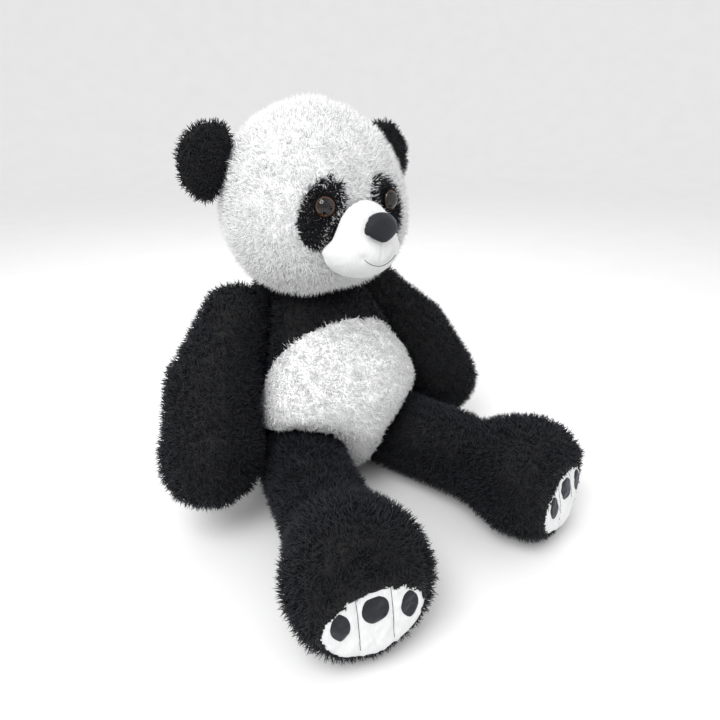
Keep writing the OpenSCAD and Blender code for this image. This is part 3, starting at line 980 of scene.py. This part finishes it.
    def prepare(self, piece: bpy.types.Object, panel: Panel, count: int) -> None:
        """Stores what the pile needs to know at each point of the skin.

        Args:
            piece: The skin, its outer faces first.
            panel: The panel, for its flow.
            count: How many faces are outer ones.
        """
        mesh = piece.data
        own = {self.core, panel.node, *(p.node for p in self.panels)}
        inner = {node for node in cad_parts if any(word in node for word in INNER_WORDS)}
        others = surface_of([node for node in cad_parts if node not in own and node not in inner])
        outer = mesh.attributes.new("outer", "FLOAT", "FACE")
        outer.data.foreach_set("value", [float(i < count) for i in range(len(mesh.polygons))])
        flow = mesh.attributes.new("flow", "FLOAT_VECTOR", "POINT")
        cover = mesh.attributes.new("cover", "FLOAT", "POINT")
        room = mesh.attributes.new("room", "FLOAT", "POINT")
        for index, vertex in enumerate(mesh.vertices):
            hit = others.ray_cast(vertex.co, vertex.normal, 16 * MM)[3]
            flow.data[index].vector = panel.flow.at(vertex.co)
            cover.data[index].value, room.data[index].value = self.covering(vertex.co, hit)

    def covering(self, place: Vector, gap: float | None) -> tuple[float, float]:
        """How densely the pile grows at a place, and what share of its length.

        Args:
            place: The place.
            gap: The distance to the next piece, or None where the pile stands free.

        Returns:
            The density and the length, both as shares.
        """
        return (1.0, 1.0) if gap is None else (0.0, 0.3)


# ---------- The camera, lights and floor ----------


@dataclass
class Studio:
    """A pale floor, soft light from above and the left, and the camera."""

    look_at: Vector = field(default_factory=lambda: Vector((0.060, -0.136, 0.267)))
    azimuth: float = -36.8
    elevation: float = 23.0
    distance: float = 0.888
    lens: float = 26.135
    shift: tuple[float, float] = (-0.0347, -0.025)

    def away(self, azimuth: float, elevation: float) -> Vector:
        """The direction from the panda to a point at those angles, in degrees."""
        turn, rise = math.radians(azimuth), math.radians(elevation)
        return Vector((math.sin(turn) * math.cos(rise), -math.cos(turn) * math.cos(rise), math.sin(rise)))

    def camera(self) -> None:
        """Makes the camera and looks through it."""
        data = bpy.data.cameras.new("camera")
        data.lens = self.lens
        data.sensor_width = 36
        data.shift_x, data.shift_y = self.shift
        camera = bpy.data.objects.new("camera", data)
        back = self.away(self.azimuth, self.elevation)
        camera.location = self.look_at + back * self.distance
        camera.rotation_mode = "QUATERNION"
        camera.rotation_quaternion = (-back).to_track_quat("-Z", "Y")
        bpy.context.scene.collection.objects.link(camera)
        bpy.context.scene.camera = camera

    def lamp(self, name: str, azimuth: float, elevation: float, power: float, size: float) -> None:
        """Adds one square soft light that points at the panda."""
        data = bpy.data.lights.new(name, "AREA")
        data.energy = power
        data.size = size
        lamp = bpy.data.objects.new(name, data)
        towards = self.away(azimuth, elevation)
        lamp.location = Vector((0, -0.1, 0.3)) + towards * 2.2
        lamp.rotation_mode = "QUATERNION"
        lamp.rotation_quaternion = (-towards).to_track_quat("-Z", "Y")
        bpy.context.scene.collection.objects.link(lamp)

    def build(self) -> None:
        """Sets up the light, the floor and the camera."""
        self.camera()
        self.lamp("key_light", -62, 52, 34, 1.4)
        self.lamp("fill_light", 40, 25, 4, 2.0)
        self.lamp("back_light", 160, 50, 9, 1.6)
        world = bpy.data.worlds.new("studio")
        world.use_nodes = True
        backdrop = world.node_tree.nodes["Background"]
        backdrop.inputs["Color"].default_value = (1, 1, 1, 1)
        backdrop.inputs["Strength"].default_value = 0.82
        scene = bpy.context.scene
        scene.world = world
        scene.view_settings.view_transform = "Standard"
        work = bmesh.new()
        bend = [Vector((0, 0, 0)), Vector((4.5, 0, 0))]
        turns = [math.pi / 2 * k / 12 for k in range(1, 13)]
        bend += [Vector((4.5 + 2.5 * math.sin(a), 0, 2.5 - 2.5 * math.cos(a))) for a in turns]
        verts = [work.verts.new(p) for p in bend]
        edges = [work.edges.new(pair) for pair in zip(verts, verts[1:])]
        bmesh.ops.spin(work, geom=verts + edges, axis=(0, 0, 1), angle=math.tau, steps=96, use_merge=True)
        bmesh.ops.remove_doubles(work, verts=work.verts, dist=MM)
        bmesh.ops.recalc_face_normals(work, faces=work.faces)
        floor = smoothed(piece_from("studio_floor", work))
        recipe = Recipe("floor_paint")
        shade = recipe.ramp(recipe.noise(6, 4), (0.3, (0.93, 0.93, 0.93)), (0.7, (0.95, 0.95, 0.95)))
        floor.data.materials.append(recipe.finish(Base_Color=shade, Roughness=0.9))


# ---------- The panda ----------


@dataclass
class Head:
    """The head's four panels, the muzzle, the nose, the mouth and the eye patches."""

    body: str = "head"

    def build(self) -> None:
        """Makes every piece of the head."""
        nose = middle_of("nose_cover")
        flow = Flow(Vector((0, 0.15, -0.75)), nose + Vector((0, 0.03, 0.05)), 1.0)
        nodes = ("face_right", "face_left", "head_back_right", "head_back_left")
        HeadCover("head_stuffing", self.body, [Panel(n, Slot.WHITE, flow, LONG_WHITE) for n in nodes],
                  tufts=2.2 * MM).build()
        plain = Flow(-UP)
        halves = [Panel(n, Slot.SHORT, plain) for n in ("muzzle_right", "muzzle_left")]
        Muzzle("muzzle_stuffing", self.body, halves,
               cell=3.2 * MM, stand_off=4.8 * MM, swell=3 * MM, fill=0.9, fine=True, parting=0.0).build()
        Nose("nose_stuffing", self.body, [Panel("nose_cover", Slot.CLOTH, plain)],
             cell=1.8 * MM, stand_off=2.6 * MM, swell=1.2 * MM, fill=0.9, fine=True, wall=0.9 * MM).build()
        self.mouth()
        for side in Side:
            self.eye(side)

    def mouth(self) -> None:
        """The embroidered mouth: short slanting stitches, each sunk at both ends, along the CAD thread."""
        points = thread_line("mouth_thread")
        inside = middle_of("muzzle_stuffing")
        stitches("mouth_stitches", points, inside, 1.0 * MM, 4.2 * MM, self.body, "mouth_thread")

    def eye(self, side: Side) -> None:
        """One safety eye: a painted disc with its rim under a clear dome."""
        lens, iris, post = (side.named(n) for n in ("eye_lens", "eye_iris", "eye_post"))
        aim = (middle_of(lens) - middle_of(post)).normalized()
        turn = UP.rotation_difference(aim).to_matrix().to_4x4()
        flat = disc_facts(iris, aim)
        spots = Matrix.Translation(flat.centre) @ turn
        radius = flat.radius
        dome = radius * 0.62
        ball = (radius**2 + dome**2) / (2 * dome)
        reach = math.asin(min(1.0, radius / ball)) if dome < ball else math.pi / 2
        floor_z = flat.half - 0.4 * MM
        centre_z = floor_z + 0.5 * MM + dome - ball
        turns = [reach * k / 14 for k in range(15)]
        arc = [Vector((ball * math.sin(a), 0, centre_z + ball * math.cos(a))) for a in turns]
        rim = [Vector((radius * 0.97, 0, floor_z)), Vector((0, 0, floor_z))]
        turned(lens + "_dome", arc + rim, spots, Slot.LENS, self.body, lens)
        back = -flat.half
        cup = [
            Vector((0, 0, flat.half)),
            *[Vector((radius * k / 12, 0, flat.half)) for k in range(1, 13)],
            Vector((radius * 1.07, 0, flat.half + 0.7 * MM)),
            Vector((radius * 1.12, 0, flat.half)),
            Vector((radius * 1.08, 0, back)),
            Vector((0, 0, back)),
        ]
        disc = turned(iris + "_disc", cup, spots, Slot.IRIS, self.body, iris)
        share = disc.data.attributes.new("reach", "FLOAT", "POINT")
        away = [v.co - flat.centre for v in disc.data.vertices]
        share.data.foreach_set("value", [(a - aim * a.dot(aim)).length / radius for a in away])


@dataclass
class DiscFacts:
    """Where a flat round node lies: its centre, its radius and half its thickness."""

    centre: Vector
    radius: float
    half: float


def disc_facts(node: str, axis: Vector) -> DiscFacts:
    """Measures a round disc whose axis is known."""
    centre = middle_of(node)
    offsets = [v.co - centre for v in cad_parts[node].data.vertices]
    return DiscFacts(
        centre,
        max((o - axis * o.dot(axis)).length for o in offsets),
        max(abs(o.dot(axis)) for o in offsets),
    )


def turned(
    name: str, outline: list[Vector], place: Matrix, slot: Slot, body: str, node: str
) -> bpy.types.Object:
    """Turns an outline about its own Z axis into a closed round piece.

    Args:
        name: The piece's name.
        outline: Its half section, from axis to axis.
        place: Where it goes.
        slot: Its material slot.
        body: The body it moves with.
        node: The CAD node it replaces.

    Returns:
        The piece.
    """
    work = bmesh.new()
    verts = [work.verts.new(p) for p in outline]
    edges = [work.edges.new(pair) for pair in zip(verts, verts[1:])]
    bmesh.ops.spin(
        work,
        geom=verts + edges,
        cent=(0, 0, 0),
        axis=(0, 0, 1),
        angle=math.tau,
        steps=48,
        use_merge=True,
        use_duplicate=False,
    )
    bmesh.ops.remove_doubles(work, verts=work.verts, dist=0.01 * MM)
    bmesh.ops.recalc_face_normals(work, faces=work.faces)
    bmesh.ops.transform(work, matrix=place, verts=work.verts)
    return dressed(smoothed(piece_from(name, work)), slot, body, node)


def thread_line(node: str) -> list[Vector]:
    """The middle line of a thread's CAD node, from its lowest X to its highest."""
    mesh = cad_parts[node].data
    low, high = box_of(node)
    count = 34
    line = []
    for step in range(count + 1):
        x = low.x + (high.x - low.x) * step / count
        near = [v.co for v in mesh.vertices if abs(v.co.x - x) < (high.x - low.x) / 22]
        if near:
            line.append(sum(near, Vector()) / len(near))
    return line


def stitches(
    name: str, line: list[Vector], inside: Vector, width: float, pitch: float, body: str, *nodes: str
) -> bpy.types.Object:
    """A sewn line: one thread in short stitches that bow up out of the cloth and dip into it.

    Args:
        name: The piece's name.
        line: The points it follows, on the cloth.
        inside: A point inside the stuffed piece, which tells out from in.
        width: The thread's width.
        pitch: The length of a stitch.
        body: The body it moves with.
        nodes: The CAD nodes it replaces.

    Returns:
        The piece.
    """
    length = sum((b - a).length for a, b in zip(line, line[1:]))
    count = max(2, round(length / pitch))
    steps = 5 * count
    path = []
    for step in range(steps + 1):
        place = walked(line, length * step / steps)
        out = (place - inside).normalized()
        path.append(place + out * (width * 0.35 * abs(math.sin(math.pi * step / 5)) - width * 0.2))
    work = bmesh.new()
    rings = []
    for index, place in enumerate(path):
        along = (path[min(index + 1, steps)] - path[max(index - 1, 0)]).normalized()
        turn = UP.rotation_difference(along).to_matrix().to_4x4()
        spot = Matrix.Translation(place) @ turn
        ring = bmesh.ops.create_circle(work, cap_ends=False, radius=width / 2, segments=8, matrix=spot)
        rings.append([v for v in ring["verts"]])
    for first, second in zip(rings, rings[1:]):
        edges = [e for ring in (first, second) for v in ring for e in v.link_edges if e.other_vert(v) in ring]
        bmesh.ops.bridge_loops(work, edges=list(dict.fromkeys(edges)))
    bmesh.ops.holes_fill(work, edges=work.edges, sides=8)
    bmesh.ops.recalc_face_normals(work, faces=work.faces)
    return dressed(smoothed(piece_from(name, work)), Slot.THREAD, body, *nodes)


def walked(line: list[Vector], distance: float) -> Vector:
    """The point that lies a distance along a line."""
    for start, end in zip(line, line[1:]):
        step = (end - start).length
        if distance <= step:
            return start.lerp(end, distance / step if step else 0)
        distance -= step
    return line[-1].copy()


class HeadCover(StuffedBody):
    """The head, with a small crest of longer pile on its crown."""

    def covering(self, place: Vector, gap: float | None) -> tuple[float, float]:
        """Bare under the muzzle and patches; longest on the crown and the cheeks."""
        if gap is not None:
            return float(gap > 2.5 * MM), max(0.25, gap / (17 * MM))
        low, high = box_of(self.core)
        crown = Vector(((low.x + high.x) / 2, (low.y + high.y) / 2 - 0.01, high.z))
        near = max(0.0, 1 - (place - crown).length / (34 * MM))
        share = (place.z - low.z) / (high.z - low.z)
        return 1.0, 1.0 + 0.5 * near + 0.25 * max(0.0, 0.45 - share) / 0.45

    def add_patches(self, whole: bpy.types.Object) -> None:
        """Sews an oval eye patch round each eye: a skin just proud of the face, with dense black pile."""
        for side in Side:
            node = side.named("eye_patch")
            lens = middle_of(side.named("eye_lens"))
            centre = lens + Vector((5 * side.value, 0, -13)) * MM
            out = (centre - middle_of(self.core)).normalized()
            across = UP.cross(out).normalized()
            up = out.cross(across)
            tilt = math.radians(22) * side.value
            long_way = up * math.cos(tilt) + across * -math.sin(tilt)
            short_way = across * math.cos(tilt) + up * math.sin(tilt)

            def inside(place: Vector) -> bool:
                """True within the oval, on the face's own side."""
                away = place - centre
                share = math.hypot(away.dot(short_way) / (31 * MM), away.dot(long_way) / (49 * MM))
                return share < 1 and away.dot(out) > -60 * MM

            work = bmesh.new()
            work.from_mesh(whole.data)
            outside = [f for f in work.faces if not inside(f.calc_center_median())]
            bmesh.ops.delete(work, geom=outside, context="FACES")
            bmesh.ops.subdivide_edges(work, edges=work.edges, cuts=1, use_grid_fill=True)
            for vertex in work.verts:
                vertex.co += vertex.normal * 1.6 * MM
            piece = piece_from(node + "_skin", work)
            count = len(piece.data.polygons)
            modified(piece, "SOLIDIFY", thickness=self.wall, offset=-1)
            flow = Flow(Vector((0.35 * side.value, 0, -0.5)), lens, 1.0)
            panel = Panel(node, Slot.BLACK, flow, PATCH_BLACK)
            self.prepare(piece, panel, count)
            eye = surface_of([side.named("eye_iris"), side.named("eye_lens")])
            covers, rooms = (piece.data.attributes[name].data for name in ("cover", "room"))
            for vertex, density, room in zip(piece.data.vertices, covers, rooms):
                near = eye.find_nearest(vertex.co)[3]
                density.value *= float(near > 2.0 * MM)
                room.value = min(room.value, 0.35 + near / (16 * MM))
            PATCH_BLACK.grow(piece)
            dressed(smoothed(piece), Slot.BLACK, self.body, node)


class Muzzle(StuffedBody):
    """The muzzle, drawn in along the mouth and under the nose."""

    def crease(self, whole: bpy.types.Object) -> None:
        """Sinks the mouth line, its corners and the short seam under the nose."""
        line = thread_line("mouth_thread")
        nose_low = box_of("nose_cover")[0].z
        centre_low = walked(line, sum((b - a).length for a, b in zip(line, line[1:])) / 2)
        shifts = []
        for vertex in whole.data.vertices:
            place = vertex.co
            near = min((place - p).length for p in line)
            sink = 1.3 * MM * math.exp(-((near / (3.2 * MM)) ** 2))
            corner = min((place - line[0]).length, (place - line[-1]).length)
            sink += 3.2 * MM * math.exp(-((corner / (6.5 * MM)) ** 2))
            if place.y < middle_of(self.core).y and centre_low.z < place.z < nose_low + 6 * MM:
                sink += 1.1 * MM * math.exp(-((place.x / (2.6 * MM)) ** 2))
            shifts.append(vertex.normal * -sink)
        for vertex, shift in zip(whole.data.vertices, shifts):
            vertex.co += shift


class Nose(StuffedBody):
    """The padded cloth nose."""


class Torso(StuffedBody):
    """The torso's cover; where a limb or the head sits in it, it is bare."""


class Limb(StuffedBody):
    """An arm or leg; the pile is short where its root turns in its socket."""

    def covering(self, place: Vector, gap: float | None) -> tuple[float, float]:
        """Short where another piece is close, full elsewhere."""
        return (1.0, 1.0) if gap is None else (0.8, max(0.22, min(1.0, (gap - 3 * MM) / (13 * MM))))


@dataclass
class Leg(Limb):
    """A leg, whose pile shortens towards the rim of the sole."""

    def __post_init__(self) -> None:
        """Finds the sole's surface."""
        self.sole = surface_of([self.panels[-1].node])

    def covering(self, place: Vector, gap: float | None) -> tuple[float, float]:
        """Short at the root and at the rim of the sole, full elsewhere."""
        density, room = super().covering(place, gap)
        rim = self.sole.find_nearest(place)[3]
        return density, min(room, 0.3 + rim / (26 * MM))


@dataclass
class Sole:
    """The toe pads and the sewn lines on one sole."""

    side: Side
    thickness: float = 2.6 * MM

    def build(self, sole: bpy.types.Object) -> None:
        """Presses two channels into the sole and lays the pads and threads on it.

        Args:
            sole: The finished sole, which the pads follow.
        """
        body = self.side.named("leg")
        work = merged_copy(self.side.named("toe_pads"))
        pads = loose_parts(work)
        work.free()
        across = (pads[2].centroid - pads[0].centroid).normalized()
        out = pads[1].facing
        if out.dot(pads[1].centroid - middle_of(self.side.named("leg_stuffing"))) < 0:
            out = -out
        up = across.cross(out)
        if up.z < 0:
            up = -up
        low, high = box_of(self.side.named("sole"))
        height = (high.z - low.z) / 2
        centre = pads[1].centroid
        half_gap = (pads[2].centroid - pads[0].centroid).length / 4
        self.channels(sole, centre, across, out, half_gap)
        tree = BVHTree.FromObject(sole, bpy.context.evaluated_depsgraph_get())
        self.lines(tree, centre, across, up, out, half_gap, height, body)
        self.pads(tree, pads, across, up, out, body)

    def channels(
        self, sole: bpy.types.Object, centre: Vector, across: Vector, out: Vector, half_gap: float
    ) -> None:
        """Sinks the cloth along the two sewn lines."""
        for vertex in sole.data.vertices:
            x = (vertex.co - centre).dot(across)
            near = min(abs(x - half_gap), abs(x + half_gap))
            vertex.co -= out * 2.2 * MM * math.exp(-((near / (3.4 * MM)) ** 2))

    def lines(
        self,
        tree: BVHTree,
        centre: Vector,
        across: Vector,
        up: Vector,
        out: Vector,
        half_gap: float,
        height: float,
        body: str,
    ) -> None:
        """Sews one thread down each channel."""
        for index, sign in enumerate((-1, 1)):
            points = []
            for step in range(41):
                along = up * height * (1.1 - 2.2 * step / 40)
                start = centre + across * half_gap * sign + along + out * 60 * MM
                hit = tree.ray_cast(start, -out, 100 * MM)[0]
                if hit:
                    points.append(hit)
            name = self.side.named(f"sole_stitches_{index + 1}")
            stitches(name, points, centre - out * 200 * MM, 0.8 * MM, 3.4 * MM, body)

    def pads(
        self, tree: BVHTree, pads: list["Part"], across: Vector, up: Vector, out: Vector, body: str
    ) -> None:
        """Makes the three crowned pads as one piece that follows the sole."""
        work = bmesh.new()
        for index, pad in enumerate(pads):
            leaf = abs(index - 1)
            made = bmesh.ops.create_uvsphere(work, u_segments=36, v_segments=16, radius=1.0)["verts"]
            for vertex in made:
                turn = math.atan2(vertex.co.y, vertex.co.x)
                rim = math.hypot(vertex.co.x, vertex.co.y)
                flat = math.copysign(abs(vertex.co.z) ** 0.8, vertex.co.z)
                wide = 0.83 * abs(math.cos(turn)) ** (0.35 * leaf) if leaf else 1.0
                spot = (
                    across * rim * math.cos(turn) * wide * pad.half.x
                    + up * rim * math.sin(turn) * pad.half.y * (1.12 if leaf else 1.0)
                )
                spot = spot * 0.9 - up * 4 * MM
                start = pad.centroid + spot + out * 60 * MM
                hit = tree.ray_cast(start, -out, 100 * MM)[0] or pad.centroid + spot
                rise = flat * self.thickness / 2 * (1.35 if vertex.co.z > 0 else 1.0)
                vertex.co = hit + out * (rise + 0.2 * MM)
        bmesh.ops.recalc_face_normals(work, faces=work.faces)
        node = self.side.named("toe_pads")
        piece = dressed(smoothed(piece_from(node + "_cloth", work)), Slot.CLOTH, body, node)


@dataclass
class Part:
    """One loose part of a mesh: its middle, the way its largest face looks, and half its width and height."""

    centroid: Vector
    facing: Vector
    half: Vector


def loose_parts(work: bmesh.types.BMesh) -> list[Part]:
    """The loose parts of a bmesh, in the order of their X."""
    left = set(work.verts)
    parts = []
    while left:
        group, edge = set(), [left.pop()]
        while edge:
            vertex = edge.pop()
            group.add(vertex)
            fresh = [e.other_vert(vertex) for e in vertex.link_edges if e.other_vert(vertex) in left]
            left.difference_update(fresh)
            edge.extend(fresh)
        faces = {f for v in group for f in v.link_faces}
        centre = sum((v.co for v in group), Vector()) / len(group)
        totals: dict[tuple[int, ...], float] = {}
        for face in faces:
            key = tuple(round(c * 20) for c in face.normal)
            totals[key] = totals.get(key, 0.0) + face.calc_area()
        best = Vector(max(totals, key=lambda k: totals[k])).normalized()
        low = Vector(min(v.co[i] for v in group) for i in range(3))
        high = Vector(max(v.co[i] for v in group) for i in range(3))
        wide = math.hypot(high.x - low.x, high.y - low.y) / 2
        parts.append(Part(centre, best, Vector((wide, (high.z - low.z) / 2, 0))))
    return sorted(parts, key=lambda part: part.centroid.x)


class Panda:
    """The whole panda."""

    def torso(self) -> None:
        """The torso's six panels and the tail."""
        down = Flow(Vector((0, 0, -1)), Vector((0, 0, 0.2)), 0.25)
        belly = Flow(Vector((0, 0, -1)), Vector((0, 0, 0.19)), 0.7)
        black = ("torso_front_right", "torso_front_left", "torso_back_right", "torso_back_left")
        panels = [Panel("belly_panel", Slot.WHITE, belly, CURLY_WHITE)]
        panels += [Panel(node, Slot.BLACK, down, LONG_BLACK) for node in black]
        Torso("torso_stuffing", "torso", panels, cell=8 * MM, swell=6 * MM, fill=0.75,
              tufts=2.4 * MM, tuft_cell=12 * MM).build()
        self.seat()
        tail = Flow(Vector((0, 0.6, -0.6)), middle_of("tail_stuffing"), 0.8)
        cover = Panel("tail_cover", Slot.WHITE, tail, CURLY_WHITE)
        StuffedBody("tail_stuffing", "torso", [cover], cell=4 * MM).build()

    def seat(self) -> None:
        """The seat panel: the CAD node's own form, whose pile is pressed flat under the panda's weight."""
        piece = piece_from("seat_panel_skin", merged_copy("seat_panel"))
        modified(piece, "REMESH", mode="VOXEL", voxel_size=2.5 * MM)
        modified(piece, "SMOOTH", factor=0.5, iterations=2)
        dressed(smoothed(piece), Slot.BLACK, "torso", "seat_panel")

    def ears(self, side: Side) -> None:
        """One ear: a front and a back panel, brushed away from the head."""
        core = side.named("ear_stuffing")
        flow = Flow(Vector((0.2 * side.value, 0, 0.2)), middle_of("head_stuffing"), 1.0)
        nodes = (side.named("ear_front"), side.named("ear_back"))
        panels = [Panel(n, Slot.BLACK, flow, EAR_BLACK) for n in nodes]
        body = side.named("ear")
        Limb(core, body, panels, cell=3.5 * MM, stand_off=4 * MM, swell=2 * MM, tufts=1.5 * MM).build()

    def arms(self, side: Side) -> None:
        """One arm: an outer and an inner panel, brushed from the shoulder to the paw."""
        core = side.named("arm_stuffing")
        low, high = box_of(core)
        flow = Flow(Vector((0.25 * side.value, -0.3, -1)), (low + high) / 2, 0.35)
        nodes = (side.named("arm_outer"), side.named("arm_inner"))
        panels = [Panel(n, Slot.BLACK, flow, LONG_BLACK) for n in nodes]
        Limb(core, side.named("arm"), panels, swell=5 * MM, tufts=2.4 * MM).build()

    def legs(self, side: Side) -> None:
        """One leg: two black panels brushed towards the foot, and a white sole with its pads."""
        core = side.named("leg_stuffing")
        sole, hip = middle_of(side.named("sole")), middle_of(side.named("hip_seam"))
        run = (sole - hip).normalized()
        flow = Flow(run + Vector((0, 0, -0.35)), (sole + hip) / 2, 0.35)
        panels = [Panel(side.named(n), Slot.BLACK, flow, LONG_BLACK) for n in ("leg_outer", "leg_inner")]
        panels.append(Panel(side.named("sole"), Slot.SHORT, flow))
        leg = Leg(core, side.named("leg"), panels, cell=6 * MM, swell=5 * MM, fill=0.75, tufts=2.4 * MM)
        made = leg.build()
        Sole(side).build(made[-1])

    def inner_parts(self) -> None:
        """Finishes the CAD nodes that keep their own shape."""
        kinds = {"stuffing": Slot.STUFFING, "seam": Slot.THREAD, "post": Slot.POST, "washer": Slot.WASHER}
        for name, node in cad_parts.items():
            slot = next((s for word, s in kinds.items() if word in name), None)
            if slot and not node.hide_render:
                for place in node.material_slots:
                    place.material = MATERIALS[slot]

    def build(self) -> None:
        """Makes the whole panda."""
        self.torso()
        Head().build()
        for side in Side:
            self.ears(side)
            self.arms(side)
            self.legs(side)
        self.inner_parts()


def main() -> None:
    """Builds the studio and the panda."""
    logging.basicConfig(level=logging.INFO, format="%(message)s")
    Studio().build()
    Panda().build()


if __name__ == "__main__":
    main()
